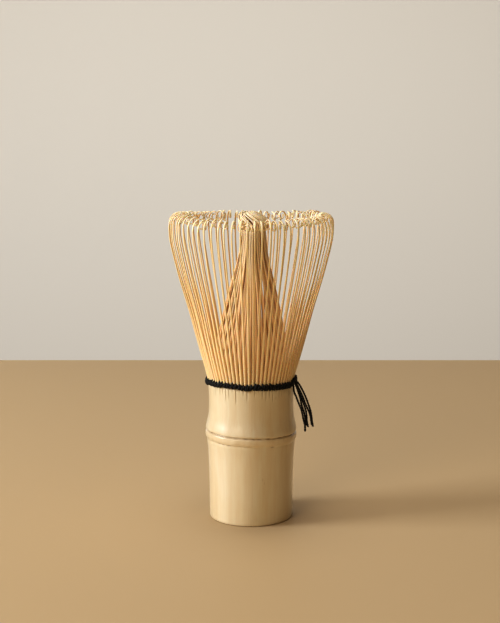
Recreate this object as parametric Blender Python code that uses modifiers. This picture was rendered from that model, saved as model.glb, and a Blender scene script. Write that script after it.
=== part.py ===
"""Bamboo tea whisk (chasen): one culm split into outer and inner tines, bound with cotton thread.

The handle stands on z = 0 with its axis on +Z. Above the culm's node the wall is split into
staves, each a comb of four tines on a shared root. The outer staves splay out and curl in at
their tips; the inner staves lean together into a cone that ends in a twisted dome. A black
thread runs round the outer tines, between the two rows of tines, and ends in a knot with
loose strands.
"""
import math

import bmesh
import bpy
from mathutils import Matrix, Vector

MM = 0.001

# Overall
WHISK = "bamboo_tea_whisk"
HEIGHT = 114.0 * MM
STAVES = 18
TINES_PER_STAVE = 4
TINE_PITCH = 2.0 * math.pi / (STAVES * TINES_PER_STAVE)
STAVE_PITCH = 2.0 * math.pi / STAVES

# Handle: the uncut culm, open below and closed inside by the wall at its node
HANDLE_TOP = 46.3 * MM
HANDLE_TOP_R = 15.85 * MM
BASE_R = 15.4 * MM
BORE_R = 9.8 * MM
BORE_TOP = 29.6 * MM
CUP_R = 11.8 * MM
CUP_FLOOR = 34.2 * MM
BASE_CHAMFER = 0.5 * MM
HANDLE_STEPS = 56

# Stave roots: outer ones on the bark side of the wall, inner ones inside them
SLIT = 0.34 * MM
OUTER_ROOT_R = (14.5 * MM, 15.95 * MM)
OUTER_ROOT_Z = (46.6 * MM, 49.0 * MM)
INNER_ROOT_R = (12.05 * MM, 14.05 * MM)
INNER_ROOT_Z = (47.1 * MM, 49.0 * MM)

# Hinge lines of the springy tines, just below the thread
FLEX_Z = 50.3 * MM
OUTER_FLEX_R = 15.2 * MM

# Outer tines: the bark face's outline (r, z in mm) up to the widest point, then the curled tip
# as an arc
OUTER_FACE = (
    (15.98, 51.7),
    (18.6, 61.5),
    (22.3, 75.0),
    (25.7, 86.0),
    (28.4, 96.0),
    (30.2, 104.5),
)
HOOK_CENTRE = (26.45 * MM, 109.15 * MM)
HOOK_R = (3.25 * MM, 3.55 * MM)
HOOK_ANGLES = (14.0, 58.0, 102.0, 146.0, 184.0)
OUTER_WIDTH = (1.0 * MM, 0.72 * MM)
OUTER_THICK = (1.0 * MM, 0.36 * MM)

# Inner tines: the centre line's outline (r, z in mm) up the cone, the neck and the closing dome
INNER_LINE = (
    (13.1, 52.0),
    (12.9, 63.0),
    (9.9, 78.0),
    (4.95, 97.5),
    (4.85, 107.0),
    (4.2, 111.6),
    (2.3, 113.75),
)
INNER_WIDTH = (0.86 * MM, 0.15 * MM)
INNER_THICK = (0.8 * MM, 0.3 * MM)
INNER_NARROW_Z = 97.0 * MM
INNER_NECK_WIDTH = 0.28 * MM
DOME_BASE_Z = 104.0 * MM
DOME_TWIST = math.radians(-62.0)
INNER_LEAN = 1.2 * MM

# Thread: two rounds outside the tines and one between the rows, a knot and its loose ends
THREAD_R = 0.3 * MM
THREAD_RING_R = 16.85 * MM
THREAD_LOWER_Z = 51.2 * MM
THREAD_UPPER_Z = 51.95 * MM
INNER_RING_R = 14.3 * MM
INNER_THREAD_R = 0.26 * MM
THREAD_STEPS = 48
THREAD_SIDES = 6
KNOT_CENTRE = Vector((17.75 * MM, -3.77 * MM, 51.3 * MM))
KNOT_SIZE = Vector((0.75 * MM, 0.95 * MM, 0.95 * MM))
STRAND_R = 0.24 * MM
STRAND_TOP_Z = 50.0 * MM
STRAND_POINTS = 9
# Each loose strand in mm: where it starts below the knot (x, y), then its lower end (x, y, z)
STRANDS = (
    ((17.1, -4.9), (20.0, -5.3, 32.1)),
    ((17.3, -4.1), (20.9, -4.3, 33.5)),
    ((17.4, -3.3), (21.3, -3.3, 34.2)),
    ((18.1, -4.3), (22.9, -4.5, 33.6)),
    ((18.0, -2.8), (23.2, -2.9, 34.8)),
)
# The short cut end that stands up from the knot, in mm
STUB_PATH = ((17.8, -3.8, 52.6), (18.0, -4.0, 53.3), (18.1, -4.2, 53.9))


def clear_scene():
    for old in list(bpy.data.objects):
        bpy.data.objects.remove(old, do_unlink=True)


def new_collection(name):
    collection = bpy.data.collections.new(name)
    bpy.context.scene.collection.children.link(collection)
    return collection


def material(name, colour, roughness):
    made = bpy.data.materials.new(name)
    made.use_nodes = True
    shader = made.node_tree.nodes["Principled BSDF"]
    shader.inputs["Base Color"].default_value = (*colour, 1.0)
    shader.inputs["Roughness"].default_value = roughness
    shader.inputs["Metallic"].default_value = 0.0
    return made


def place(name, data, mat, collection, parent=None):
    """Put a mesh or curve in the whisk's collection with its material."""
    data.materials.append(mat)
    made = bpy.data.objects.new(name, data)
    made.parent = parent
    collection.objects.link(made)
    return made


def hinge_empty(name, at, collection):
    empty = bpy.data.objects.new(name, None)
    empty.location = at
    empty.empty_display_size = 4.0 * MM
    collection.objects.link(empty)
    return empty


def lerp(pair, share):
    return pair[0] + (pair[1] - pair[0]) * share


# ---------------------------------------------------------------- handle


def handle_profile():
    """The culm's section at +X: cup floor, rim, down the bark, base, and up the bore."""
    bark = (
        (15.8, 43.8),
        (16.0, 40.0),
        (16.45, 36.3),
        (16.75, 34.0),
        (16.8, 33.1),
        (16.55, 32.8),
        (16.8, 32.5),
        (16.8, 30.8),
        (16.45, 28.6),
        (16.1, 22.8),
        (15.65, 11.0),
    )
    points = [(0.0, CUP_FLOOR), (CUP_R - 1.2 * MM, CUP_FLOOR + 0.3 * MM)]
    points += [(CUP_R, CUP_FLOOR + 1.6 * MM), (CUP_R, HANDLE_TOP), (HANDLE_TOP_R, HANDLE_TOP)]
    points += [(r * MM, z * MM) for r, z in bark]
    points += [(BASE_R, BASE_CHAMFER), (BASE_R - BASE_CHAMFER, 0.0)]
    points += [(BORE_R + 0.4 * MM, 0.0), (BORE_R, 0.4 * MM)]
    points += [(BORE_R - 0.2 * MM, BORE_TOP - 2.0 * MM)]
    points += [(BORE_R - 1.6 * MM, BORE_TOP - 0.4 * MM), (0.0, BORE_TOP)]
    return points


def make_handle(mat, collection):
    mesh = bpy.data.meshes.new("handle")
    points = handle_profile()
    edges = [(i, i + 1) for i in range(len(points) - 1)]
    mesh.from_pydata([(r, 0.0, z) for r, z in points], edges, [])
    handle = place("handle", mesh, mat, collection)
    turn = handle.modifiers.new("turn", "SCREW")
    turn.axis = "Z"
    turn.angle = 2.0 * math.pi
    turn.steps = HANDLE_STEPS
    turn.render_steps = HANDLE_STEPS
    turn.use_merge_vertices = True
    turn.merge_threshold = 0.00001
    turn.use_smooth_shade = True
    return handle


# ---------------------------------------------------------------- tines


def outer_line():
    """Stations (r, z, width, thickness, twist) of an outer tine's centre line."""
    last = len(OUTER_FACE) + len(HOOK_ANGLES) - 1
    stations = []
    for i, (r, z) in enumerate(OUTER_FACE):
        share = i / last
        thick = lerp(OUTER_THICK, share)
        stations.append((r * MM - 0.5 * thick, z * MM, lerp(OUTER_WIDTH, share), thick, 0.0))
    for i, degrees in enumerate(HOOK_ANGLES):
        share = (i + len(OUTER_FACE)) / last
        turn = math.radians(degrees)
        r = HOOK_CENTRE[0] + HOOK_R[0] * math.cos(turn)
        z = HOOK_CENTRE[1] + HOOK_R[1] * math.sin(turn)
        stations.append((r, z, lerp(OUTER_WIDTH, share), lerp(OUTER_THICK, share), 0.0))
    return stations


def inner_line():
    """Stations of an inner tine's centre line, turned more and more through the dome."""
    top = INNER_LINE[-1][1] * MM
    root_z = INNER_LINE[0][1] * MM
    stations = []
    for r, z in ((r * MM, z * MM) for r, z in INNER_LINE):
        if z < INNER_NARROW_Z:
            up_cone = (z - root_z) / (INNER_NARROW_Z - root_z)
            width = lerp((INNER_WIDTH[0], INNER_NECK_WIDTH), up_cone)
        else:
            up_dome = (z - INNER_NARROW_Z) / (top - INNER_NARROW_Z)
            width = lerp((INNER_NECK_WIDTH, INNER_WIDTH[1]), up_dome)
        thick = lerp(INNER_THICK, (z - root_z) / (top - root_z))
        twist = DOME_TWIST * max(0.0, (z - DOME_BASE_Z) / (top - DOME_BASE_Z))
        stations.append((r, z, width, thick, twist))
    return stations


def section(stations, k, angle):
    """The four corners of a tine at station k: bark face, then pith face."""
    r, z, width, thick, twist = stations[k]
    before = stations[max(k - 1, 0)]
    after = stations[min(k + 1, len(stations) - 1)]
    along = Vector((after[0] - before[0], after[1] - before[1])).normalized()
    outward = Vector((along.y, -along.x)) * (0.5 * thick)
    phi = angle + twist
    corners = []
    for face, side in ((1, -1), (1, 1), (-1, 1), (-1, -1)):
        rr = r + face * outward.x
        zz = z + face * outward.y
        across = side * 0.5 * width
        x = rr * math.cos(phi) - across * math.sin(phi)
        y = rr * math.sin(phi) + across * math.cos(phi)
        corners.append(Vector((x, y, zz)))
    return corners


def lean(point):
    """The cone of inner tines leans a little towards +X as it rises."""
    rise = max(0.0, (point.z - FLEX_Z) / (HEIGHT - FLEX_Z))
    return point + Vector((INNER_LEAN * rise ** 1.5, 0.0, 0.0))


def bridge(bm, low, high):
    count = len(low)
    for i in range(count):
        j = (i + 1) % count
        bm.faces.new((low[i], low[j], high[j], high[i]))


def comb_mesh(name, first_angle, root_r, root_z, stations, shape, origin):
    """Loft one stave: an arc-shaped root, split above into tines.

    shape maps a whisk point to its final place, and origin is subtracted from it.
    """
    bm = bmesh.new()

    def vert(point):
        return bm.verts.new(shape(point) - origin)

    def on_arc(r, angle, z):
        return Vector((r * math.cos(angle), r * math.sin(angle), z))

    half = 0.5 * (TINE_PITCH - SLIT / root_r[1])
    centres = [first_angle + (j + 0.5) * TINE_PITCH for j in range(TINES_PER_STAVE)]
    feet = []
    for angle in centres:
        rings = []
        for z in root_z:
            corners = [(root_r[1], -half), (root_r[1], half), (root_r[0], half), (root_r[0], -half)]
            rings.append([vert(on_arc(r, angle + turn, z)) for r, turn in corners])
        feet.append(rings)

    # the root block: one run of outer, inner, bottom and slit-floor faces
    for rings in feet:
        low, high = rings
        bm.faces.new((low[0], low[1], high[1], high[0]))
        bm.faces.new((low[2], low[3], high[3], high[2]))
        bm.faces.new((low[3], low[2], low[1], low[0]))
    for (low_a, high_a), (low_b, high_b) in zip(feet, feet[1:]):
        bm.faces.new((low_a[1], low_b[0], high_b[0], high_a[1]))
        bm.faces.new((low_b[3], low_a[2], high_a[2], high_b[3]))
        bm.faces.new((low_a[2], low_b[3], low_b[0], low_a[1]))
        bm.faces.new((high_a[1], high_b[0], high_b[3], high_a[2]))
    low, high = feet[0]
    bm.faces.new((low[3], low[0], high[0], high[3]))
    low, high = feet[-1]
    bm.faces.new((low[1], low[2], high[2], high[1]))

    # the tines, each lofted up from its foot
    for angle, (_, foot) in zip(centres, feet):
        ring = foot
        for k in range(len(stations)):
            next_ring = [vert(point) for point in section(stations, k, angle)]
            bridge(bm, ring, next_ring)
            ring = next_ring
        bm.faces.new(ring)

    bmesh.ops.recalc_face_normals(bm, faces=bm.faces)
    mesh = bpy.data.meshes.new(name)
    bm.to_mesh(mesh)
    bm.free()
    return mesh


def make_outer_staves(mat, collection):
    stations = outer_line()
    for i in range(STAVES):
        name = f"outer_stave_{i + 1:02d}"
        first = i * STAVE_PITCH
        middle = first + 0.5 * STAVE_PITCH
        pivot = Vector((OUTER_FLEX_R * math.cos(middle), OUTER_FLEX_R * math.sin(middle), FLEX_Z))
        mesh = comb_mesh(name, first, OUTER_ROOT_R, OUTER_ROOT_Z, stations, Vector, pivot)
        place(name, mesh, mat, collection).location = pivot


def make_inner_staves(mat, collection):
    stations = inner_line()
    pivot = Vector((0.0, 0.0, FLEX_Z))
    empty = hinge_empty("inner_bundle_flex", pivot, collection)
    for i in range(STAVES):
        name = f"inner_stave_{i + 1:02d}"
        mesh = comb_mesh(name, i * STAVE_PITCH, INNER_ROOT_R, INNER_ROOT_Z, stations, lean, pivot)
        place(name, mesh, mat, collection, empty)


# ---------------------------------------------------------------- thread


def make_round(name, ring_r, thread_r, z, mat, collection):
    bpy.ops.mesh.primitive_torus_add(
        major_radius=ring_r,
        minor_radius=thread_r,
        major_segments=THREAD_STEPS,
        minor_segments=THREAD_SIDES,
        location=(0.0, 0.0, z),
    )
    adopt(name, mat, collection)


def adopt(name, mat, collection):
    """Name the primitive just added and move it into the whisk's collection."""
    made = bpy.context.object
    made.name = name
    made.data.name = name
    for old in list(made.users_collection):
        old.objects.unlink(made)
    collection.objects.link(made)
    made.data.materials.append(mat)
    made.data.shade_smooth()


def make_knot(mat, collection):
    bpy.ops.mesh.primitive_uv_sphere_add(segments=10, ring_count=7, location=KNOT_CENTRE)
    bpy.context.object.data.transform(Matrix.Diagonal((*KNOT_SIZE, 1.0)))
    adopt("thread_knot", mat, collection)


def make_strand(name, points, mat, collection, parent=None):
    curve = bpy.data.curves.new(name, "CURVE")
    curve.dimensions = "3D"
    curve.bevel_depth = STRAND_R
    curve.bevel_resolution = 2
    curve.use_fill_caps = True
    spline = curve.splines.new("POLY")
    spline.points.add(len(points) - 1)
    for slot, point in zip(spline.points, points):
        slot.co = (*point, 1.0)
    return place(name, curve, mat, collection, parent)


def strand_points(start, end):
    """A strand leaves the knot downwards, bellies outwards and hangs to its end."""
    points = []
    for i in range(STRAND_POINTS):
        share = i / (STRAND_POINTS - 1)
        out = math.sin(0.5 * math.pi * share)
        x = lerp((start.x, end.x), out)
        y = lerp((start.y, end.y), out)
        points.append(Vector((x, y, lerp((start.z, end.z), share))))
    return points


def make_strands(mat, collection):
    empty = hinge_empty("thread_tails_swing", KNOT_CENTRE, collection)
    for i, (start, end) in enumerate(STRANDS):
        top = Vector((start[0] * MM, start[1] * MM, STRAND_TOP_Z))
        bottom = Vector(end) * MM
        points = [point - KNOT_CENTRE for point in strand_points(top, bottom)]
        make_strand(f"thread_tail_{i + 1}", points, mat, collection, empty)
    stub = [Vector(point) * MM for point in STUB_PATH]
    make_strand("thread_stub", stub, mat, collection)


def main():
    clear_scene()
    collection = new_collection(WHISK)
    culm = material("culm_bamboo", (0.78, 0.66, 0.42), 0.42)
    outer = material("outer_tine_bamboo", (0.84, 0.68, 0.40), 0.5)
    inner = material("inner_tine_bamboo", (0.80, 0.62, 0.34), 0.55)
    cotton = material("black_cotton", (0.012, 0.012, 0.014), 0.8)
    make_handle(culm, collection)
    make_outer_staves(outer, collection)
    make_inner_staves(inner, collection)
    make_round("thread_lower_round", THREAD_RING_R, THREAD_R, THREAD_LOWER_Z, cotton, collection)
    make_round("thread_upper_round", THREAD_RING_R, THREAD_R, THREAD_UPPER_Z, cotton, collection)
    make_round("thread_inner_round", INNER_RING_R, INNER_THREAD_R, THREAD_LOWER_Z, cotton, collection)
    make_knot(cotton, collection)
    make_strands(cotton, collection)


main()
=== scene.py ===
"""Looks of a bamboo tea whisk (chasen): carved culm, springy tines, twisted dome, cotton binding.

Lengths are in metres in the frame's own axes: +Z up the handle, +X towards the knot, and the
side that the camera sees faces -Y. Angles round the whisk start at +X.
"""

import math
import random

import bpy
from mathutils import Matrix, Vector, noise


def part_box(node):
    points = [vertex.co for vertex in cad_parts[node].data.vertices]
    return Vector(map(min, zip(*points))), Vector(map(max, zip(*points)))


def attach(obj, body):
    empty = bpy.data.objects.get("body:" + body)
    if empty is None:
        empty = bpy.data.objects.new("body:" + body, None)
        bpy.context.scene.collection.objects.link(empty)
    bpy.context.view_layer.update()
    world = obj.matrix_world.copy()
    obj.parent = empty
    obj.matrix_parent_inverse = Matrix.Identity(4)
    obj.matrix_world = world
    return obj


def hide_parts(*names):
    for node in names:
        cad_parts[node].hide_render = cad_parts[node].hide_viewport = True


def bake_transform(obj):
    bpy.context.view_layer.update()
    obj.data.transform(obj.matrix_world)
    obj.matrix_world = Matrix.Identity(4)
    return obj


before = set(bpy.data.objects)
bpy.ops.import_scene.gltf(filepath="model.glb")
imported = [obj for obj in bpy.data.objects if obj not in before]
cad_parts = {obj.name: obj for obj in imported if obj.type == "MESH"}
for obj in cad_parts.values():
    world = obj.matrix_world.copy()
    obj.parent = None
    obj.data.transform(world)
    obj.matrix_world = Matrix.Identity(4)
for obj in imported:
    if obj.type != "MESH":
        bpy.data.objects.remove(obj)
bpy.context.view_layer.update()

MM = 0.001
TAU = 2.0 * math.pi

# ------------------------------------------------------------------ sizes from the frame
STAVES = sum(1 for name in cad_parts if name.startswith("outer_stave_"))
TINES_PER_STAVE = 4
TINES = STAVES * TINES_PER_STAVE
TINE_PITCH = TAU / TINES
THREAD_Z = 0.5 * (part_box("thread_lower_round")[0].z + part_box("thread_upper_round")[1].z)
DOME_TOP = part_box("inner_stave_01")[1].z


# ------------------------------------------------------------------ small maths


def clamp(value, low=0.0, high=1.0):
    return max(low, min(high, value))


def smooth(value, low, high):
    t = clamp((value - low) / (high - low))
    return t * t * (3.0 - 2.0 * t)


def mix(a, b, t):
    return a + (b - a) * t


def bell(value, centre, width):
    return math.exp(-(((value - centre) / width) ** 2))


def angle_gap(a, b):
    """Signed difference of two angles, between -pi and pi."""
    return (a - b + math.pi) % TAU - math.pi


def wander(x, y=0.0, z=0.0):
    return noise.noise(Vector((x, y, z)))


def polar(r, angle, z):
    return Vector((r * math.cos(angle), r * math.sin(angle), z))


def catmull(points, samples):
    """A smooth run of tuples through the given tuples, evenly sampled per stretch."""
    ends = [points[0]] + list(points) + [points[-1]]
    run = []
    for i in range(1, len(ends) - 2):
        p0, p1, p2, p3 = (ends[i + k - 1] for k in range(4))
        for s in range(samples):
            t = s / samples
            run.append(tuple(
                0.5 * (2 * b + (c - a) * t + (2 * a - 5 * b + 4 * c - d) * t * t
                       + (3 * b - a - 3 * c + d) * t ** 3)
                for a, b, c, d in zip(p0, p1, p2, p3)
            ))
    run.append(tuple(points[-1]))
    return run


def height_curve(points):
    """A smooth function of z through (value, z) points, which rise or fall in z."""
    run = sorted((z, value) for value, z in catmull(points, 12))

    def at(z):
        if z <= run[0][0]:
            return run[0][1]
        for (z0, v0), (z1, v1) in zip(run, run[1:]):
            if z <= z1:
                return mix(v0, v1, (z - z0) / max(z1 - z0, 1e-12))
        return run[-1][1]

    return at


# ------------------------------------------------------------------ mesh building


class Shape:
    """Collects vertices, faces and named per-vertex values, and becomes one mesh piece."""

    def __init__(self, *value_names):
        self.verts = []
        self.faces = []
        self.values = {name: [] for name in value_names}

    def vert(self, point, **values):
        self.verts.append(tuple(point))
        for name, store in self.values.items():
            store.append(values.get(name, 0.0))
        return len(self.verts) - 1

    def bridge(self, low, high):
        count = len(low)
        for i in range(count):
            j = (i + 1) % count
            self.faces.append((low[i], low[j], high[j], high[i]))

    def wall(self, rings):
        """rings: lists of vertex numbers, joined in order."""
        for low, high in zip(rings, rings[1:]):
            self.bridge(low, high)

    def tube(self, rings, capped=True):
        """A wall of rings that is capped at both ends, or joined end to end."""
        self.wall(rings)
        if capped:
            self.faces.append(tuple(reversed(rings[0])))
            self.faces.append(tuple(rings[-1]))
        else:
            self.bridge(rings[-1], rings[0])

    def piece(self, name, material):
        mesh = bpy.data.meshes.new(name)
        mesh.from_pydata(self.verts, [], self.faces)
        for value_name, store in self.values.items():
            layer = mesh.attributes.new(value_name, "FLOAT", "POINT")
            layer.data.foreach_set("value", store)
        mesh.materials.append(material)
        mesh.shade_smooth()
        mesh.update()
        made = bpy.data.objects.new(name, mesh)
        bpy.context.scene.collection.objects.link(made)
        return made


# corners of a shaved strip's section, as shares of its half width and half thickness
STRIP = (
    (1.0, -0.45), (1.0, 0.45), (0.7, 1.0), (-0.7, 1.0),
    (-1.0, 0.45), (-1.0, -0.45), (-0.7, -1.0), (0.7, -1.0),
)
# a strip's two end sections are this share of its size, which rounds its ends
STRIP_END = 0.55


def strip(shape, stations, tint):
    """Loft a bamboo strip. A station is (centre, across, outward, width, thickness)."""
    rings = []
    last = len(stations) - 1
    for k, (centre, across, outward, width, thick) in enumerate(stations):
        shrink = STRIP_END if k in (0, last) else 1.0
        ring = []
        for u, v in STRIP:
            point = centre + across * (0.5 * width * shrink * u)
            point += outward * (0.5 * thick * shrink * v)
            ring.append(shape.vert(point, tint=tint, pith=0.5 - 0.5 * v, along=k / last))
        rings.append(ring)
    shape.tube(rings)


def tangent_at(path, i, closed):
    """The direction of a run of points at one of them."""
    before = path[i - 1] if (closed or i) else path[0]
    after = path[(i + 1) % len(path)] if (closed or i < len(path) - 1) else path[-1]
    return (after - before).normalized()


def cord_rings(shape, path, radius, sides, closed=False):
    """Loft a round cord along points, with frames carried without twist.

    The radius is a length, or a function of the share of the points passed.
    """
    normal = tangent_at(path, 0, closed).orthogonal().normalized()
    rings = []
    for i, point in enumerate(path):
        tangent = tangent_at(path, i, closed)
        normal = (normal - tangent * normal.dot(tangent)).normalized()
        side = tangent.cross(normal)
        r = radius(i / (len(path) - 1)) if callable(radius) else radius
        ring = []
        for s in range(sides):
            turn = TAU * s / sides
            ring.append(shape.vert(point + (normal * math.cos(turn) + side * math.sin(turn)) * r))
        rings.append(ring)
    shape.tube(rings, capped=not closed)


def plied(path, closed, ply_offset, twist_length):
    """Two paths wound round a path, as the plies of a twisted thread."""
    count = len(path)
    plies = ([], [])
    length = 0.0
    stretches = count if closed else count - 1
    total = sum((path[(i + 1) % count] - path[i]).length for i in range(stretches))
    turns = max(1, round(total / twist_length)) if closed else total / twist_length
    for i, point in enumerate(path):
        tangent = tangent_at(path, i, closed)
        if i:
            length += (point - path[i - 1]).length
        side = tangent.cross(Vector((0.0, 0.0, 1.0)))
        if side.length < 0.1:
            side = tangent.cross(Vector((0.0, 1.0, 0.0)))
        side.normalize()
        up = side.cross(tangent)
        angle = TAU * turns * length / total
        lift = (side * math.cos(angle) + up * math.sin(angle)) * ply_offset
        plies[0].append(point + lift)
        plies[1].append(point - lift)
    return plies


# ------------------------------------------------------------------ shader building


class Nodes:
    """A short way to write a material's node tree."""

    # the Mix node's colour sockets, which share their names with its number sockets
    MIX_A = 6
    MIX_B = 7
    MIX_OUT = 2

    def __init__(self, name):
        self.material = bpy.data.materials.new(name)
        self.material.use_nodes = True
        self.tree = self.material.node_tree
        self.shader = self.tree.nodes["Principled BSDF"]

    def add(self, kind, links=None, **settings):
        node = self.tree.nodes.new(kind)
        for key, value in settings.items():
            setattr(node, key, value)
        for socket, value in (links or {}).items():
            self.feed(node.inputs[socket], value)
        return node

    def feed(self, socket, value):
        if isinstance(value, bpy.types.NodeSocket):
            self.tree.links.new(value, socket)
        else:
            socket.default_value = value

    def attribute(self, name):
        return self.add("ShaderNodeAttribute", attribute_name=name).outputs["Fac"]

    def maths(self, operation, a, b):
        node = self.add("ShaderNodeMath", {0: a, 1: b}, operation=operation)
        return node.outputs["Value"]

    def ramp(self, value, *stops):
        """A ramp of (position, colour) stops, read with value."""
        node = self.add("ShaderNodeValToRGB", {"Fac": value})
        elements = node.color_ramp.elements
        while len(elements) < len(stops):
            elements.new(0.5)
        for element, (position, colour) in zip(elements, stops):
            element.position = position
            element.color = colour
        return node.outputs["Color"]

    def level(self, value, low, high, out_low=0.0, out_high=1.0):
        """A value stretched from one range to another, and held within it."""
        node = self.add("ShaderNodeMapRange", {
            "Value": value, "From Min": low, "From Max": high, "To Min": out_low, "To Max": out_high})
        return node.outputs["Result"]

    def blend(self, factor, a, b):
        """Colour a where the factor is 0, and b where it is 1."""
        node = self.add("ShaderNodeMix", data_type="RGBA")
        self.feed(node.inputs["Factor"], factor)
        self.feed(node.inputs[self.MIX_A], a)
        self.feed(node.inputs[self.MIX_B], b)
        return node.outputs[self.MIX_OUT]

    def place(self, scale):
        """Object-space coordinates, stretched."""
        place = self.add("ShaderNodeTexCoord").outputs["Object"]
        return self.add("ShaderNodeMapping", {"Vector": place, "Scale": scale}).outputs["Vector"]

    def noise(self, vector, scale, detail=3.0, rough=0.5, distortion=0.0):
        return self.add("ShaderNodeTexNoise", {
            "Vector": vector, "Scale": scale, "Detail": detail,
            "Roughness": rough, "Distortion": distortion}).outputs["Fac"]

    def bump(self, height, strength, distance):
        node = self.add("ShaderNodeBump", {
            "Height": height, "Strength": strength, "Distance": distance})
        self.tree.links.new(node.outputs["Normal"], self.shader.inputs["Normal"])

    def set(self, **values):
        for key, value in values.items():
            self.feed(self.shader.inputs[key.replace("_", " ")], value)


def rgb(r, g, b):
    return (r, g, b, 1.0)


def culm_material():
    """Bamboo skin: cream to straw, fine fibres up the culm, specks, painted shade in the node's
    groove, its nicks and the slits.
    """
    m = Nodes("culm_bamboo_skin")
    fibre = m.noise(m.place((1.0, 1.0, 0.025)), 2600.0, 4.0, 0.6)
    streak = m.noise(m.place((1.0, 1.0, 0.05)), 420.0, 3.0, 0.55)
    patch = m.noise(m.place((1.0, 1.0, 0.45)), 95.0, 3.0, 0.55, 0.4)
    cloud = m.noise(m.place((1.0, 1.0, 0.8)), 45.0, 2.0, 0.5)
    skin = m.ramp(patch, (0.28, rgb(0.77, 0.65, 0.42)), (0.5, rgb(0.80, 0.71, 0.50)),
                  (0.72, rgb(0.83, 0.76, 0.57)))
    # long brown streaks, dull patches and fine dark fibres
    skin = m.blend(m.level(streak, 0.38, 0.66, 0.0, 0.4), skin, rgb(0.72, 0.55, 0.32))
    skin = m.blend(m.level(cloud, 0.45, 0.7, 0.0, 0.25), skin, rgb(0.70, 0.60, 0.37))
    skin = m.blend(m.level(fibre, 0.5, 0.7, 0.0, 0.2), skin, rgb(0.66, 0.48, 0.26))
    # short brown specks, longer up the culm than across it
    speck_place = m.place((1.0, 1.0, 0.35))
    speck = m.add("ShaderNodeTexVoronoi", {"Vector": speck_place, "Scale": 420.0}).outputs["Distance"]
    rare = m.noise(speck_place, 150.0, 2.0, 0.5)
    dots = m.maths("MULTIPLY", m.level(speck, 0.16, 0.05), m.level(rare, 0.58, 0.66))
    skin = m.blend(m.maths("MULTIPLY", dots, 0.35), skin, rgb(0.36, 0.22, 0.09))
    # the ridge's tint, painted shade in the node's groove, its nicks and the slits, and the sawn or
    # scraped wood with its dark pores
    skin = m.blend(m.attribute("ridge"), skin, rgb(0.76, 0.57, 0.33))
    skin = m.blend(m.attribute("line"), skin, rgb(0.24, 0.13, 0.055))
    skin = m.blend(m.attribute("slit"), skin, rgb(0.38, 0.20, 0.075))
    pore = m.add("ShaderNodeTexVoronoi", {"Vector": m.place((1.0, 1.0, 0.15)), "Scale": 1100.0})
    pores = m.level(pore.outputs["Distance"], 0.28, 0.12)
    wood = m.blend(m.maths("MULTIPLY", pores, 0.65), rgb(0.74, 0.56, 0.33), rgb(0.30, 0.17, 0.07))
    skin = m.blend(m.attribute("wood"), skin, wood)
    m.set(Base_Color=skin)
    gloss = m.maths("ADD", m.level(patch, 0.3, 0.7, 0.36, 0.27), m.level(fibre, 0.4, 0.7, 0.0, 0.08))
    m.set(Roughness=m.blend(m.attribute("wood"), gloss, rgb(0.8, 0.8, 0.8)))
    m.shader.inputs["Specular IOR Level"].default_value = 0.5
    m.shader.inputs["Coat Weight"].default_value = 1.0
    m.shader.inputs["Coat Roughness"].default_value = 0.28
    height = m.maths("ADD", m.maths("MULTIPLY", fibre, 0.5), m.maths("MULTIPLY", streak, 0.8))
    height = m.maths("SUBTRACT", height, m.maths("MULTIPLY", dots, 0.5))
    m.bump(height, 0.28, 0.12 * MM)
    return m.material


def tine_material(name, pale, honey, pith, roughness):
    """Shaved bamboo strip: darker honey low down and paler to the tip, painted shade and light along
    it; a browner pith face, partly painted shade; a tint per strip; fibres along it.
    """
    m = Nodes(name)
    fibre = m.noise(m.place((1.0, 1.0, 0.03)), 3400.0, 3.0, 0.6)
    patch = m.noise(m.place((1.0, 1.0, 0.3)), 160.0, 2.0, 0.5)
    # painted light and shade: each strip is paler towards its tip and darker honey low down in the
    # whisk
    up = m.level(m.attribute("along"), 0.3, 0.72)
    # each strip's tint, which for the inner tines also holds painted shade on the side away from the
    # window
    tint_and_shade = m.maths("MULTIPLY", m.attribute("tint"), m.level(patch, 0.35, 0.65, 0.5, 1.0))
    colour = m.blend(up, honey, pale)
    colour = m.blend(m.maths("MULTIPLY", tint_and_shade, 0.55), colour, honey)
    # the pith face browner: partly the pith's own colour, partly painted shade that is stronger low
    # down inside the whisk
    shade = m.maths("MULTIPLY", m.attribute("pith"), m.level(up, 0.0, 1.0, 0.75, 0.45))
    colour = m.blend(shade, colour, pith)
    colour = m.blend(m.level(fibre, 0.48, 0.72, 0.0, 0.3), colour, pith)
    m.set(Base_Color=colour)
    m.set(Roughness=m.level(fibre, 0.3, 0.7, roughness - 0.06, roughness + 0.1))
    m.shader.inputs["Subsurface Weight"].default_value = 0.5
    m.shader.inputs["Subsurface Radius"].default_value = (1.0, 0.75, 0.4)
    m.shader.inputs["Subsurface Scale"].default_value = 0.6 * MM
    m.bump(fibre, 0.25, 0.06 * MM)
    return m.material


def cotton_material():
    """Black waxed cotton: near black, with a fine grey fuzz and a faint sheen."""
    m = Nodes("black_cotton_thread")
    fibre = m.noise(m.place((1.0, 1.0, 1.0)), 5200.0, 3.0, 0.65)
    fuzz = m.noise(m.place((1.0, 1.0, 1.0)), 900.0, 2.0, 0.5)
    colour = m.blend(m.level(fibre, 0.45, 0.75), rgb(0.004, 0.004, 0.004), rgb(0.016, 0.016, 0.016))
    colour = m.blend(m.level(fuzz, 0.55, 0.75, 0.0, 0.3), colour, rgb(0.034, 0.032, 0.029))
    m.set(Base_Color=colour)
    m.set(Roughness=m.level(fibre, 0.3, 0.7, 0.55, 0.8))
    m.shader.inputs["Specular IOR Level"].default_value = 0.35
    m.shader.inputs["Sheen Weight"].default_value = 0.03
    m.shader.inputs["Sheen Roughness"].default_value = 0.4
    m.bump(fibre, 0.5, 0.08 * MM)
    return m.material


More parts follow.
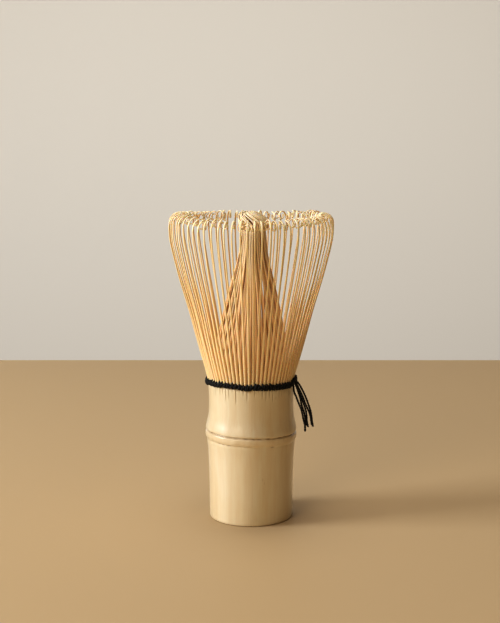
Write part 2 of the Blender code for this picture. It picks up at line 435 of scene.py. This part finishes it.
CULM = culm_material()
OUTER_TINE = tine_material("outer_tine_bamboo", rgb(1.0, 0.95, 0.78), rgb(0.96, 0.75, 0.44),
                           rgb(0.78, 0.54, 0.27), 0.40)
# the same bamboo as the outer tines, but darker and more orange: painted shade for the strips that
# stand inside the whisk
INNER_TINE = tine_material("inner_tine_bamboo", rgb(1.0, 0.87, 0.65), rgb(0.94, 0.66, 0.36),
                           rgb(0.70, 0.44, 0.19), 0.5)
COTTON = cotton_material()


# ------------------------------------------------------------------ where the thread runs

# the binding's mid height round the whisk, in degrees and mm: it dips and rises a little
THREAD_COURSE = (
    (-173.0, 50.95), (-158.0, 51.6), (-140.0, 51.65), (-128.0, 52.0), (-112.0, 51.9),
    (-95.0, 51.5), (-87.0, 51.8), (-70.0, 51.5), (-52.0, 51.3), (-38.0, 51.1), (-28.0, 51.15),
    (-18.0, 52.1), (-8.0, 51.9), (10.0, 51.7), (40.0, 51.5), (80.0, 51.8), (120.0, 51.5),
    (155.0, 51.7),
)
# a tine's foot follows the binding up to the first height, and no longer does at the second
FOOT_Z = 52.0 * MM
FREE_Z = 60.0 * MM


def thread_height(angle):
    """Mid height of the thread band at an angle."""
    degrees = math.degrees(angle_gap(angle, 0.0))
    first, last = THREAD_COURSE[0], THREAD_COURSE[-1]
    course = ((last[0] - 360.0, last[1]), *THREAD_COURSE, (first[0] + 360.0, first[1]))
    for (d0, z0), (d1, z1) in zip(course, course[1:]):
        if degrees <= d1:
            return mix(z0, z1, smooth(degrees, d0, d1)) * MM
    return last[1] * MM


def foot_lift(angle, z):
    """How far a tine is raised at a height, where its foot follows the binding."""
    return (thread_height(angle) - THREAD_Z) * (1.0 - smooth(z, FOOT_Z, FREE_Z))


# ------------------------------------------------------------------ the culm

NODE_Z = 33.0 * MM
# the node's dip fades over this height, and these heights are counted from its line, where painted
# shade darkens the groove
NODE_REACH = 5.0 * MM
GROOVE_Z = -0.1 * MM
RIDGE_EDGE = -3.2 * MM
GROOVE_DEPTH = 0.48 * MM
NICK_DEPTH = 0.16 * MM
FLUTE_DEPTH = 0.05 * MM
BASE_ROUND = 0.45 * MM
BARK = height_curve([(r * MM, z * MM) for r, z in (
    (15.42, 0.0), (15.48, 5.0), (15.56, 11.0), (15.66, 16.5), (15.83, 22.0), (16.0, 25.5),
    (16.2, 27.6), (16.36, 29.2), (16.44, 30.3), (16.5, 31.6), (16.66, 32.6), (16.84, 33.4),
    (16.8, 34.1), (16.58, 35.2), (16.25, 36.6), (15.95, 38.2), (15.74, 40.2), (15.66, 43.0),
    (15.7, 46.0), (15.84, 49.0), (15.93, 51.3),
)])
# short nicks along the band's lower edge, in degrees
NICKS = (-134.0, -127.5, -119.0, -62.0, -20.0, 24.0, 61.0, 70.0, 118.0, 163.0)
NICK_WIDTH = math.radians(2.4)

# the slits between the tines, which fade out down the skin
SLIT_WIDTH = 0.2 * MM
SLIT_DEPTH = 0.5 * MM
SLIT_R = 15.9 * MM
SLIT_FADE = 3.0 * MM
# a slit ends here or up to so much lower, in mm
SLIT_END = 49.4
SLIT_REACH = 4.6
SLIT_SEED = 7
# columns of uncut skin between two slits
PLAIN_COLUMNS = 3

# rows of the skin in mm, as first row, step and count: close at the node and the slits
SKIN_ROWS = (
    (1.2, 1.2, 23), (28.4, 0.16, 16), (31.0, 0.24, 5), (32.1, 0.12, 18), (34.4, 0.6, 15),
    (43.4, 0.4, 19),
)
# bare wood as (r, z) in mm: the sawn base, the split wall's top (z from the skin's last row),
# the hollow above the node down to the node wall, and the wall's underside down to the bore's mouth
BASE_FACE = ((10.4, 0.0), (12.6, 0.0), (14.9, 0.0))
WALL_TOP = ((14.3, -0.4), (13.0, -2.6), (11.9, -3.0))
UPPER_HOLLOW = ((11.8, 40.0), (11.7, 36.2), (10.4, 34.5), (5.0, 33.9), (0.3, 33.9))
BORE = (
    (0.3, 30.0), (4.0, 30.0), (7.4, 29.5), (9.1, 28.2), (9.6, 26.4), (9.7, 20.0),
    (9.8, 12.0), (9.85, 4.0), (9.95, 0.9), (10.15, 0.25),
)


def node_shift(angle):
    """How far the node's line dips at an angle: it isn't quite level or even."""
    wave = 0.22 * wander(1.7 * math.cos(angle), 1.7 * math.sin(angle), 5.0)
    small = 0.12 * wander(6.0 * math.cos(angle), 6.0 * math.sin(angle), 2.0)
    return (-0.5 * math.cos(angle) + wave + small) * MM


def nick(angle):
    """1 in the middle of a nick, and 0 away from them."""
    return sum(bell(angle_gap(angle, math.radians(at)), 0.0, NICK_WIDTH) for at in NICKS)


def bark_radius(angle, z, dip):
    """The skin's radius, with the node's groove and ridge and the culm's slight unevenness."""
    r = BARK(z - dip * bell(z, NODE_Z, NODE_REACH))
    r *= 1.0 + 0.004 * math.cos(2.0 * (angle - 0.6)) * smooth(z, 51.0 * MM, 40.0 * MM)
    off = z - NODE_Z - dip
    x, y = math.cos(angle), math.sin(angle)
    # the groove, the swollen band under it, and the nicks along the band's lower edge
    r -= GROOVE_DEPTH * bell(off, GROOVE_Z, 0.3 * MM)
    swell = math.sin(math.pi * clamp(1.0 - off / RIDGE_EDGE)) ** 0.8
    r += (0.42 + 0.18 * wander(4.0 * x, 4.0 * y, 9.0)) * MM * swell
    r -= 0.08 * MM * bell(off, RIDGE_EDGE - 0.2 * MM, 0.6 * MM)
    r -= NICK_DEPTH * nick(angle) * bell(off, RIDGE_EDGE, 0.22 * MM)
    return r + FLUTE_DEPTH * wander(7.5 * x, 7.5 * y, z / (60.0 * MM))


def skin_heights():
    rows = [0.12 * MM, 0.3 * MM, 0.55 * MM]
    for first, step, count in SKIN_ROWS:
        rows += [first * MM + step * MM * k for k in range(count)]
    return rows


def skin_columns():
    """The skin's columns as (angle, slit number or None, 1 in the slit's bottom)."""
    half = 0.5 * SLIT_WIDTH / SLIT_R
    columns = []
    for k in range(TINES):
        at_slit = k * TINE_PITCH
        columns += [(at_slit - half, k, 0.0), (at_slit, k, 1.0), (at_slit + half, k, 0.0)]
        for step in range(PLAIN_COLUMNS):
            share = (step + 1) / (PLAIN_COLUMNS + 1)
            columns.append((at_slit + half + (TINE_PITCH - 2.0 * half) * share, None, 0.0))
    return columns


def skin_point(column, z_row, top_row, slit_ends):
    """One point of the skin, and how much line colour (painted shade in the groove and nicks), slit
    colour (painted shade down the slit) and ridge colour it takes.
    """
    angle, slit, deep = column
    lift = (thread_height(angle) - THREAD_Z) * smooth(z_row, 44.0 * MM, top_row)
    dip = node_shift(angle)
    z = z_row + dip * bell(z_row, NODE_Z, NODE_REACH) + lift
    r = bark_radius(angle, z, dip)
    r -= BASE_ROUND * (1.0 - smooth(z_row, -0.1 * MM, 0.6 * MM)) ** 2
    # the slit's depth, which also sets how much painted shade darkens the slit's bottom
    cut = 0.0
    if slit is not None:
        cut = deep * smooth(z_row, slit_ends[slit], slit_ends[slit] + SLIT_FADE)
    r -= SLIT_DEPTH * cut
    off = z - NODE_Z - dip
    # line: painted shade along the node's groove, uneven round it, and in the nicks under the band
    uneven = wander(12.0 * math.cos(angle), 12.0 * math.sin(angle), 3.0)
    line = (0.5 + 0.6 * uneven) * bell(off, GROOVE_Z, 0.26 * MM)
    line += 0.6 * nick(angle) * bell(off, RIDGE_EDGE, 0.2 * MM)
    ridge = 0.25 * smooth(off, RIDGE_EDGE, RIDGE_EDGE + 0.6 * MM)
    ridge *= smooth(off, 0.1 * MM, -0.4 * MM)
    return polar(r, angle, z), {"line": line, "slit": cut, "ridge": ridge}


def make_handle():
    """The culm: grooved skin with slits, sawn base, bore, node wall and upper hollow."""
    shape = Shape("line", "slit", "wood", "ridge")
    rng = random.Random(SLIT_SEED)
    slit_ends = [(SLIT_END - SLIT_REACH * rng.random() ** 1.5) * MM for _ in range(TINES)]
    columns = skin_columns()
    heights = skin_heights()
    top_row = heights[-1]

    def wood_rings(outline, from_z=0.0):
        return [
            [shape.vert(polar(r * MM, angle, from_z + z * MM), wood=1.0) for angle, _, _ in columns]
            for r, z in outline
        ]

    outside = wood_rings(BASE_FACE)
    for z_row in heights:
        ring = []
        for column in columns:
            point, values = skin_point(column, z_row, top_row, slit_ends)
            ring.append(shape.vert(point, **values))
        outside.append(ring)
    outside += wood_rings(WALL_TOP, top_row) + wood_rings(UPPER_HOLLOW)
    inside = wood_rings(BORE)
    shape.wall(outside)
    shape.faces.append(tuple(outside[-1]))
    shape.faces.append(tuple(reversed(inside[0])))
    shape.wall(inside)
    shape.bridge(inside[-1], outside[0])
    made = shape.piece("culm_handle", CULM)
    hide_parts("handle")
    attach(made, "handle")


# ------------------------------------------------------------------ tines

OUTER_BODY = [(r * MM, z * MM) for r, z in (
    (15.45, 50.2), (15.5, 51.6), (15.95, 54.0), (17.0, 57.6), (18.6, 63.0), (20.7, 70.5),
    (22.6, 77.5), (24.7, 84.5), (26.5, 90.5), (28.05, 96.5), (29.15, 101.0), (29.75, 104.2),
    (29.93, 106.4),
)]
ARC_STEP = math.radians(30.0)
HOOK_STEPS = 4
# stations along a tine between two points of its outline
TINE_SAMPLES = 3
# how far chance moves a tine: aside, into a bow and along the rim in mm, its curl aside in degrees
OUTER_SWAY = 0.34
OUTER_BOW = 0.22
CURL_SLIDE = 0.6
CURL_ASIDE = (12.0, 58.0)
OUTER_SEED = 21


def hook_top(angle):
    """The rim isn't quite level: lowest in front and highest at the two sides."""
    return (112.2 + 1.0 * math.cos(angle) ** 2 + 0.35 * math.sin(angle)) * MM


def hook_points(rng, angle):
    """The curled tip as (r, z): a quarter turn inwards, then a curl that tightens to its end."""
    top = hook_top(angle) + rng.uniform(-0.5, 0.3) * MM
    wide = rng.uniform(3.3, 4.1) * MM
    tight = rng.uniform(1.35, 2.0) * MM
    steps = rng.choice((8, 10, 12, 13, 14, 15))
    centre_r = OUTER_BODY[-1][0] + 0.04 * MM - wide
    points = []
    for k in range(HOOK_STEPS):
        turned = k * ARC_STEP
        points.append((centre_r + wide * math.cos(turned), top - wide + wide * math.sin(turned)))
    for k in range(1, steps + 1):
        turned = 0.5 * math.pi + k * ARC_STEP
        curl = tight * (1.0 - 0.045 * k)
        points.append((centre_r + curl * math.cos(turned), top - tight + curl * math.sin(turned)))
    return points


def along_line(line):
    """How far along a run of (r, z) points each one is, as a share of its length."""
    lengths = [0.0]
    for (r0, z0), (r1, z1) in zip(line, line[1:]):
        lengths.append(lengths[-1] + math.hypot(r1 - r0, z1 - z0))
    return [length / lengths[-1] for length in lengths]


def heading(line, k):
    """The direction in (r, z) of a run of points at one of them."""
    before = line[max(k - 1, 0)]
    after = line[min(k + 1, len(line) - 1)]
    return Vector((after[0] - before[0], after[1] - before[1])).normalized()


def axes_at(angle):
    """The directions away from the whisk's axis, and round it, at an angle."""
    radial = Vector((math.cos(angle), math.sin(angle), 0.0))
    tangent = Vector((-math.sin(angle), math.cos(angle), 0.0))
    return radial, tangent


def outer_stations(rng, angle):
    """One outer tine: up from the thread, out to the rim, over, and into a curl that turns aside."""
    line = catmull(OUTER_BODY + hook_points(rng, angle), TINE_SAMPLES)
    shares = along_line(line)
    sway = rng.uniform(-OUTER_SWAY, OUTER_SWAY) * MM
    curl_turn = rng.choice((-1.0, 1.0, 1.0)) * math.radians(rng.uniform(*CURL_ASIDE))
    curl_slide = rng.uniform(-CURL_SLIDE, CURL_SLIDE) * MM
    bow = rng.uniform(-OUTER_BOW, OUTER_BOW) * MM
    reach = rng.uniform(-0.3, 0.15) * MM
    end_z = OUTER_BODY[-1][1]
    body_count = (len(OUTER_BODY) - 1) * TINE_SAMPLES
    curl_from = (len(OUTER_BODY) + HOOK_STEPS - 1) * TINE_SAMPLES
    pivot_r = line[curl_from][0] + reach
    radial, tangent = axes_at(angle)
    stations = []
    for k, (r, z) in enumerate(line):
        along = heading(line, k)
        rise = clamp((z - THREAD_Z) / (end_z - THREAD_Z)) if k < body_count else 1.0
        over = clamp((k - body_count) / (len(line) - 1 - body_count))
        r += reach * rise + bow * math.sin(math.pi * rise)
        z += foot_lift(angle, z)
        aside = curl_turn * smooth(k, curl_from - 3, curl_from + 4)
        radial_aside = radial * math.cos(aside) - tangent * math.sin(aside)
        across = tangent * math.cos(aside) + radial * math.sin(aside)
        outward = radial_aside * along.y - Vector((0.0, 0.0, along.x))
        slide = sway * rise ** 1.4 + curl_slide * smooth(k, curl_from, len(line) - 1)
        centre = radial * pivot_r + tangent * slide + Vector((0.0, 0.0, z))
        centre += (radial_aside if k > curl_from else radial) * (r - pivot_r)
        shaved = smooth(shares[k], 0.0, 0.62)
        width = mix(1.05, 0.57, shaved) * MM * (1.0 + 0.6 * over)
        thick = mix(0.95, 0.31, shaved) * MM * (1.0 + 0.5 * over)
        stations.append((centre, across, outward, width, thick))
    return stations


def make_outer_tines():
    rng = random.Random(OUTER_SEED)
    for i in range(STAVES):
        shape = Shape("tint", "pith", "along")
        for j in range(TINES_PER_STAVE):
            angle = (i * TINES_PER_STAVE + j + 0.5) * TINE_PITCH
            strip(shape, outer_stations(rng, angle), rng.random())
        name = f"outer_tines_{i + 1:02d}"
        node = f"outer_stave_{i + 1:02d}"
        made = shape.piece(name, OUTER_TINE)
        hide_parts(node)
        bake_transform(made)


INNER_BODY = [(r * MM, z * MM) for r, z in (
    (13.2, 50.0), (13.2, 56.0), (12.95, 62.0), (11.9, 69.0), (10.2, 77.0), (8.2, 85.5),
    (6.35, 92.5), (5.1, 98.0), (4.65, 102.0), (4.35, 105.0),
)]
# the twisted dome: its middle circle, its height above that, and where its strands part
DOME_R = 5.25 * MM
DOME_MID_Z = 109.6 * MM
DOME_RISE = 4.1 * MM
DOME_START = math.radians(-38.0)
DOME_TURN = math.radians(-60.0)
PARTING = math.radians(-92.0)
POLE_SHIFT = Vector((-2.0 * MM, 0.2 * MM, 0.0))
LEAN_X = 1.15 * MM
# every other inner tine lies this much further in
LAYER_DEPTH = 0.62 * MM
# radians: the cone's strands turn this much up to the neck, and lie on each other's edges like tiles
NECK_TWIST = 0.12
SHINGLE = 0.4
INNER_SEED = 47


def dome_points(end_degrees, inset):
    """The bun at the top as (r, z): out over its waist and in to near the pole."""
    end = math.radians(end_degrees)
    steps = 7
    points = []
    for k in range(steps + 1):
        angle = mix(DOME_START, end, k / steps)
        rise = (DOME_RISE - 0.7 * inset) if angle > 0.0 else DOME_RISE
        points.append(((DOME_R - inset) * math.cos(angle), DOME_MID_Z + rise * math.sin(angle)))
    return points


def parting_drift(angle):
    """Strands on the two sides of the dome's parting draw away from it."""
    gap = angle_gap(angle + 0.2 * DOME_TURN, PARTING)
    return math.copysign(0.07, gap) * clamp(1.0 - abs(gap) / 0.5)


def inner_stations(rng, angle, layer):
    """One inner tine: up the cone, into the neck, and over the dome in a twist.

    The tines in front stand straighter and a little wider, so that no gap runs up between them.
    """
    inset = layer * LAYER_DEPTH + rng.uniform(-0.4, 0.3) * MM
    body = [(r - inset * smooth(z, 58.0 * MM, 84.0 * MM), z) for r, z in INNER_BODY]
    line = catmull(body + dome_points(rng.uniform(58.0, 84.0), inset), TINE_SAMPLES)
    shares = along_line(line)
    front = bell(angle_gap(angle, PARTING), 0.0, 0.2)
    sway = rng.uniform(-0.3, 0.3) * MM * (1.0 - 0.8 * front)
    clump = 0.22 * wander(3.2 * math.cos(angle), 3.2 * math.sin(angle), 8.0)
    drift = clump + rng.uniform(-0.1, 0.1) + parting_drift(angle)
    bow = rng.uniform(-0.25, 0.3) * MM
    wobble = rng.uniform(0.0, TAU)
    dome_from = len(INNER_BODY) * TINE_SAMPLES
    stations = []
    for k, (r, z) in enumerate(line):
        along = heading(line, k)
        rise = clamp((z - THREAD_Z) / (DOME_TOP - THREAD_Z))
        turn = clamp((k - dome_from) / (len(line) - 1 - dome_from))
        phi = angle + DOME_TURN * turn ** 1.6
        phi -= NECK_TWIST * smooth(z, 80.0 * MM, 104.0 * MM)
        phi += drift * smooth(turn, 0.0, 0.4)
        phi += sway / max(r, 3.0 * MM) * math.sin(math.pi * rise) * 1.5
        r += bow * math.sin(math.pi * rise) + 0.1 * MM * math.sin(wobble + 9.0 * rise) * rise
        radial, tangent = axes_at(phi)
        outward = radial * along.y - Vector((0.0, 0.0, along.x))
        shingle = SHINGLE * smooth(turn, 0.0, 0.3)
        across = (tangent * math.cos(shingle) + outward * math.sin(shingle)).normalized()
        outward = (outward * math.cos(shingle) - tangent * math.sin(shingle)).normalized()
        width = mix(0.92, 0.62, smooth(shares[k], 0.0, 0.6)) * MM
        width *= 1.0 + 0.2 * bell(turn, 0.45, 0.3) - 0.3 * turn ** 3
        width *= 1.0 + 0.15 * front * (1.0 - smooth(turn, 0.0, 0.3))
        thick = mix(0.8, 0.34, smooth(shares[k], 0.1, 0.8)) * MM
        z += foot_lift(angle, z)
        shift = POLE_SHIFT * smooth(turn, 0.25, 1.0)
        centre = radial * r + Vector((LEAN_X * rise ** 1.5, 0.0, z)) + shift
        stations.append((centre, across, outward, width, thick))
    return stations


CURL_STATIONS = 16


def curl_stations(rng, angle):
    """A loose tip that leaves the dome's side and curls down under it."""
    size = rng.uniform(0.9, 1.35) * MM
    centre_r = rng.uniform(4.9, 5.35) * MM
    centre_z = rng.uniform(107.6, 108.7) * MM
    start = rng.uniform(110.0, 140.0)
    stations = []
    for k in range(CURL_STATIONS):
        share = k / (CURL_STATIONS - 1)
        turn = math.radians(mix(start, -165.0, share))
        r = centre_r + 0.8 * size * math.cos(turn)
        z = centre_z + 1.15 * size * math.sin(turn)
        radial, tangent = axes_at(angle + 0.3 * (share - 0.5))
        outward = radial * math.cos(turn) + Vector((0.0, 0.0, math.sin(turn)))
        centre = radial * r + Vector((LEAN_X, 0.0, z))
        stations.append((centre, tangent, outward, 0.6 * MM, 0.3 * MM))
    return stations


def make_inner_tines():
    """The inner staves. Those at the right are painted darker honey as shade, away from the window,
    and every other one has a loose curl.
    """
    rng = random.Random(INNER_SEED)
    for i in range(STAVES):
        shape = Shape("tint", "pith", "along")
        for j in range(TINES_PER_STAVE):
            angle = (i * TINES_PER_STAVE + j + 0.5) * TINE_PITCH
            stations = inner_stations(rng, angle, j % 2)
            # a random tint, plus painted shade that grows towards +X, away from the window light at
            # -X
            tint_and_side_shade = 0.35 * rng.random() + 0.325 * (1.0 + math.cos(angle - 0.3))
            strip(shape, stations, tint_and_side_shade)
        if i % 2:
            angle = (i + rng.random()) * TAU / STAVES
            strip(shape, curl_stations(rng, angle), rng.random())
        made = shape.piece(f"inner_tines_{i + 1:02d}", INNER_TINE)
        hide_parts(f"inner_stave_{i + 1:02d}")
        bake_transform(made)


# ------------------------------------------------------------------ thread

BAND_R = 16.45 * MM
INNER_ROUND_R = 14.3 * MM
TWINE_TURNS = TINES // 2
TWINE_STEPS = TINES * 10
TWINE_RISE = 0.46 * MM
TWINE_DEPTH = 0.24 * MM
TEETH_RISE = 0.2 * MM
PLY_R = 0.31 * MM
PLY_OFFSET = 0.2 * MM
PLY_TWIST = 1.7 * MM
PLY_SIDES = 7
STITCH_R = 0.28 * MM
STITCH_SIDES = 6
STITCH_SEED = 5
TAIL_R = 0.36 * MM
STUB_R = 0.3 * MM
KNOT = Vector((15.75 * MM, -5.0 * MM, 52.25 * MM))


def finish_thread(shape, name, *nodes):
    made = shape.piece(name, COTTON)
    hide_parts(*nodes)
    return made


def band_fullness(angle):
    """How tall the binding is at an angle: thinner at the left and where it climbs to the knot."""
    full = 0.86 + 0.2 * smooth(angle_gap(angle, math.radians(-104.0)), -0.12, 0.12)
    full -= 0.5 * bell(angle_gap(angle, math.radians(-22.0)), 0.0, math.radians(4.5))
    full -= 0.5 * bell(angle_gap(angle, math.radians(-176.0)), 0.0, math.radians(22.0))
    return full + 0.35 * wander(7.0 * math.cos(angle), 7.0 * math.sin(angle), 4.0)


def make_outer_round(name, node, side):
    """One of the two twined strands of the binding, which cross in every gap between tines."""
    shape = Shape()
    path = []
    for s in range(TWINE_STEPS):
        angle = TAU * s / TWINE_STEPS
        turn = TWINE_TURNS * angle + (0.0 if side > 0.0 else math.pi)
        x, y = 9.0 * math.cos(angle), 9.0 * math.sin(angle)
        size = band_fullness(angle)
        r = BAND_R + TWINE_DEPTH * math.cos(turn) + 0.12 * MM * wander(x, y, 7.0 * side)
        r -= 0.2 * MM * bell(angle_gap(angle, math.pi), 0.0, 0.35)
        z = thread_height(angle) + TWINE_RISE * size * math.sin(turn)
        z += TEETH_RISE * math.sin(TINES * angle + side)
        z += 0.34 * MM * wander(1.6 * x, 1.6 * y, 20.0 + side)
        path.append(polar(r, angle, z))
    for ply in plied(path, True, PLY_OFFSET, PLY_TWIST):
        cord_rings(shape, ply, PLY_R, PLY_SIDES, closed=True)
    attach(finish_thread(shape, name, node), "handle")


def smooth_route(route, samples):
    """Points along a smooth curve through a few points."""
    return [Vector(point) for point in catmull([tuple(p) for p in route], samples)]


def make_stitches():
    """The thread where it passes in and out between the tines, and the round between the rows."""
    shape = Shape()
    rng = random.Random(STITCH_SEED)
    for k in range(TINES):
        gap = k * TINE_PITCH
        middle = thread_height(gap)
        peak = rng.uniform(0.7, 1.35) * MM
        side = rng.uniform(-0.3, 0.3) * TINE_PITCH
        drop = rng.uniform(0.5, 0.95) * MM
        route = [
            polar(14.4 * MM, gap, middle + 0.3 * MM),
            polar(15.3 * MM, gap, middle + peak * 0.8),
            polar(16.2 * MM, gap + 0.2 * side, middle + peak),
            polar(16.8 * MM, gap + 0.7 * side, middle + 0.5 * MM),
            polar(16.75 * MM, gap + side, middle - 0.4 * drop),
            polar(16.1 * MM, gap + side, middle - drop),
        ]
        cord_rings(shape, smooth_route(route, 4), STITCH_R, STITCH_SIDES)
    steps = 240
    loop = []
    for s in range(steps):
        angle = TAU * s / steps
        ripple = 0.1 * MM * math.cos(TWINE_TURNS * angle)
        loop.append(polar(INNER_ROUND_R, angle, thread_height(angle) + ripple))
    for ply in plied(loop, True, 0.16 * MM, PLY_TWIST):
        cord_rings(shape, ply, 0.22 * MM, STITCH_SIDES, closed=True)
    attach(finish_thread(shape, "thread_weave", "thread_inner_round"), "handle")


def thread_length(shape, route, radius, end_swell=0.0, taper=0.0):
    """A two-ply length of thread through a few points, cut off square at its end."""
    points = smooth_route(route, 8)

    def size(t):
        return 0.66 * radius * (1.0 - taper * t ** 4 + end_swell * smooth(t, 0.72, 0.95))

    for ply in plied(points, False, 0.5 * radius, 5.5 * radius):
        cord_rings(shape, ply, size, PLY_SIDES)


def make_knot():
    """The knot where the rounds end: a trefoil pulled tight."""
    shape = Shape()
    path = []
    steps = 72
    for s in range(steps):
        t = TAU * s / steps
        x = (math.sin(t) + 2.0 * math.sin(2.0 * t)) * 0.24 * MM
        z = (math.cos(t) - 2.0 * math.cos(2.0 * t)) * 0.30 * MM
        y = -math.sin(3.0 * t) * 0.40 * MM
        path.append(KNOT + Vector((y + 0.35 * x, x - 0.25 * z, z)))
    for ply in plied(path, True, 0.13 * MM, 1.6 * MM):
        cord_rings(shape, ply, 0.25 * MM, PLY_SIDES, closed=True)
    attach(finish_thread(shape, "thread_knot_tied", "thread_knot"), "handle")


# the short cut end in mm, from the knot
STUB_ROUTE = ((-0.1, 0.0, 0.0), (0.25, 0.05, 0.75), (0.65, 0.15, 1.45), (0.9, 0.2, 1.95))


def make_stub():
    """The short end of thread that stands up from the knot."""
    shape = Shape()
    thread_length(shape, [KNOT + Vector(step) * MM for step in STUB_ROUTE], STUB_R, taper=0.55)
    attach(finish_thread(shape, "thread_stub_end", "thread_stub"), "handle")


# the loose strands in mm, from the knot to their cut ends
TAIL_ROUTES = (
    ((15.55, -5.4, 50.9), (15.7, -5.7, 48.3), (16.5, -5.7, 46.3), (17.5, -5.6, 43.7),
     (18.55, -5.5, 41.0), (19.2, -5.4, 37.9), (19.8, -5.4, 35.5), (19.9, -5.4, 33.2)),
    ((16.0, -5.0, 51.6), (17.1, -5.1, 48.5), (18.0, -4.9, 45.7), (18.6, -4.7, 42.85),
     (19.45, -4.6, 40.3), (20.0, -4.7, 37.5), (20.3, -4.8, 35.3)),
    ((15.9, -4.6, 51.9), (17.0, -4.4, 48.9), (18.1, -4.2, 46.5), (18.95, -4.1, 44.4),
     (20.15, -4.0, 40.8), (20.45, -4.0, 38.7), (20.6, -4.1, 36.5), (21.0, -4.2, 34.6)),
    ((16.1, -4.9, 52.0), (17.5, -4.6, 49.2), (18.95, -4.5, 46.1), (19.85, -4.4, 43.7),
     (20.75, -4.2, 41.6), (21.75, -3.9, 39.1), (22.4, -3.8, 35.2)),
    ((16.2, -4.6, 52.3), (17.7, -4.1, 50.5), (19.4, -3.8, 47.3), (20.6, -3.6, 44.4),
     (21.6, -3.4, 41.5), (22.1, -3.2, 39.6), (22.85, -3.1, 34.5)),
)


def make_tails():
    """The loose strands, which bend from the knot down to where they swing as one."""
    for i, route in enumerate(TAIL_ROUTES):
        shape = Shape()
        thread_length(shape, [Vector(point) * MM for point in route], TAIL_R, end_swell=0.12)
        made = finish_thread(shape, f"thread_strand_{i + 1}", f"thread_tail_{i + 1}")
        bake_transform(made)


# ------------------------------------------------------------------ room, lights, camera

CAMERA_AT = Vector((-0.0004, -0.420, 0.136))
CAMERA_DOWN = math.radians(8.0)
CAMERA_LENS = 66.7
SENSOR_WIDTH = 36.0
# the floor ends behind the whisk, and the wall stands further back
STAGE_REACH = 6.0
FLOOR_BACK_Y = 0.32
WALL_Y = 1.3
WALL_FOOT = -1.0
WALL_TOP_Z = 4.0
FILL_COLOUR = rgb(1.0, 0.54, 0.22)
FILL_STRENGTH = 0.10
# below 1, which darkens the mid tones a little
DISPLAY_GAMMA = 0.8
WHISK_MIDDLE = (0.0, 0.0, 0.06)
# name, place, target, width and height, watts, colour
LIGHTS = (
    ("window", (-0.94, -0.16, 0.40), WHISK_MIDDLE, (0.34, 0.26), 10.3, (0.86, 0.91, 1.0)),
    ("front_left", (-0.6, -0.95, 0.55), WHISK_MIDDLE, (0.6, 0.5), 4.5, (1.0, 0.86, 0.66)),
    ("overhead", (0.0, 0.0, 1.3), WHISK_MIDDLE, (0.5, 0.5), 8.2, (1.0, 0.96, 0.88)),
    ("wall_wash", (-0.3, 0.62, 0.15), (-0.3, WALL_Y, 0.15), (3.0, 1.2), 8.9, (1.0, 0.97, 0.91)),
)


def stage_plane(name, low, high, colour, roughness):
    """A flat piece of the room: level between two corners, or upright if they differ in z."""
    (x0, y0, z0), (x1, y1, z1) = low, high
    corners = [(x0, y0, z0), (x1, y0, z0), (x1, y1, z1), (x0, y1, z1)]
    mesh = bpy.data.meshes.new(name)
    mesh.from_pydata(corners, [], [(0, 1, 2, 3)])
    finish = Nodes(name)
    finish.set(Base_Color=colour, Roughness=roughness)
    mesh.materials.append(finish.material)
    made = bpy.data.objects.new(name, mesh)
    bpy.context.scene.collection.objects.link(made)


def make_stage():
    """A plain pale floor, a plain wall, and a faint warm fill from all round."""
    far = STAGE_REACH
    stage_plane("floor", (-far, -far, 0.0), (far, FLOOR_BACK_Y, 0.0), rgb(0.54, 0.405, 0.235), 0.6)
    stage_plane("wall", (-far, WALL_Y, WALL_FOOT), (far, WALL_Y, WALL_TOP_Z),
                rgb(0.75, 0.745, 0.71), 0.9)
    world = bpy.data.worlds.new("studio")
    bpy.context.scene.world = world
    world.use_nodes = True
    background = world.node_tree.nodes["Background"]
    background.inputs["Color"].default_value = FILL_COLOUR
    background.inputs["Strength"].default_value = FILL_STRENGTH


def area_light(name, at, target, size, power, colour):
    data = bpy.data.lights.new(name, "AREA")
    data.shape = "RECTANGLE"
    data.size, data.size_y = size
    data.energy = power
    data.color = colour
    light = bpy.data.objects.new(name, data)
    light.location = at
    light.rotation_euler = (Vector(target) - Vector(at)).to_track_quat("-Z", "Y").to_euler()
    bpy.context.scene.collection.objects.link(light)


def make_lights():
    """A low window at the left, a soft one in front of it, one from above and one on the wall."""
    for light in LIGHTS:
        area_light(*light)


def make_camera():
    data = bpy.data.cameras.new("camera")
    data.lens = CAMERA_LENS
    data.sensor_width = SENSOR_WIDTH
    data.clip_start = 0.01
    data.clip_end = 50.0
    camera = bpy.data.objects.new("camera", data)
    camera.location = CAMERA_AT
    camera.rotation_euler = (math.pi / 2.0 - CAMERA_DOWN, 0.0, 0.0)
    bpy.context.scene.collection.objects.link(camera)
    bpy.context.scene.camera = camera


make_camera()
make_stage()
make_lights()
make_handle()
make_outer_tines()
make_inner_tines()
make_outer_round("thread_round_low", "thread_lower_round", -1.0)
make_outer_round("thread_round_high", "thread_upper_round", 1.0)
make_stitches()
make_knot()
make_stub()
make_tails()
bpy.context.scene.view_settings.view_transform = "Standard"
bpy.context.scene.view_settings.gamma = DISPLAY_GAMMA
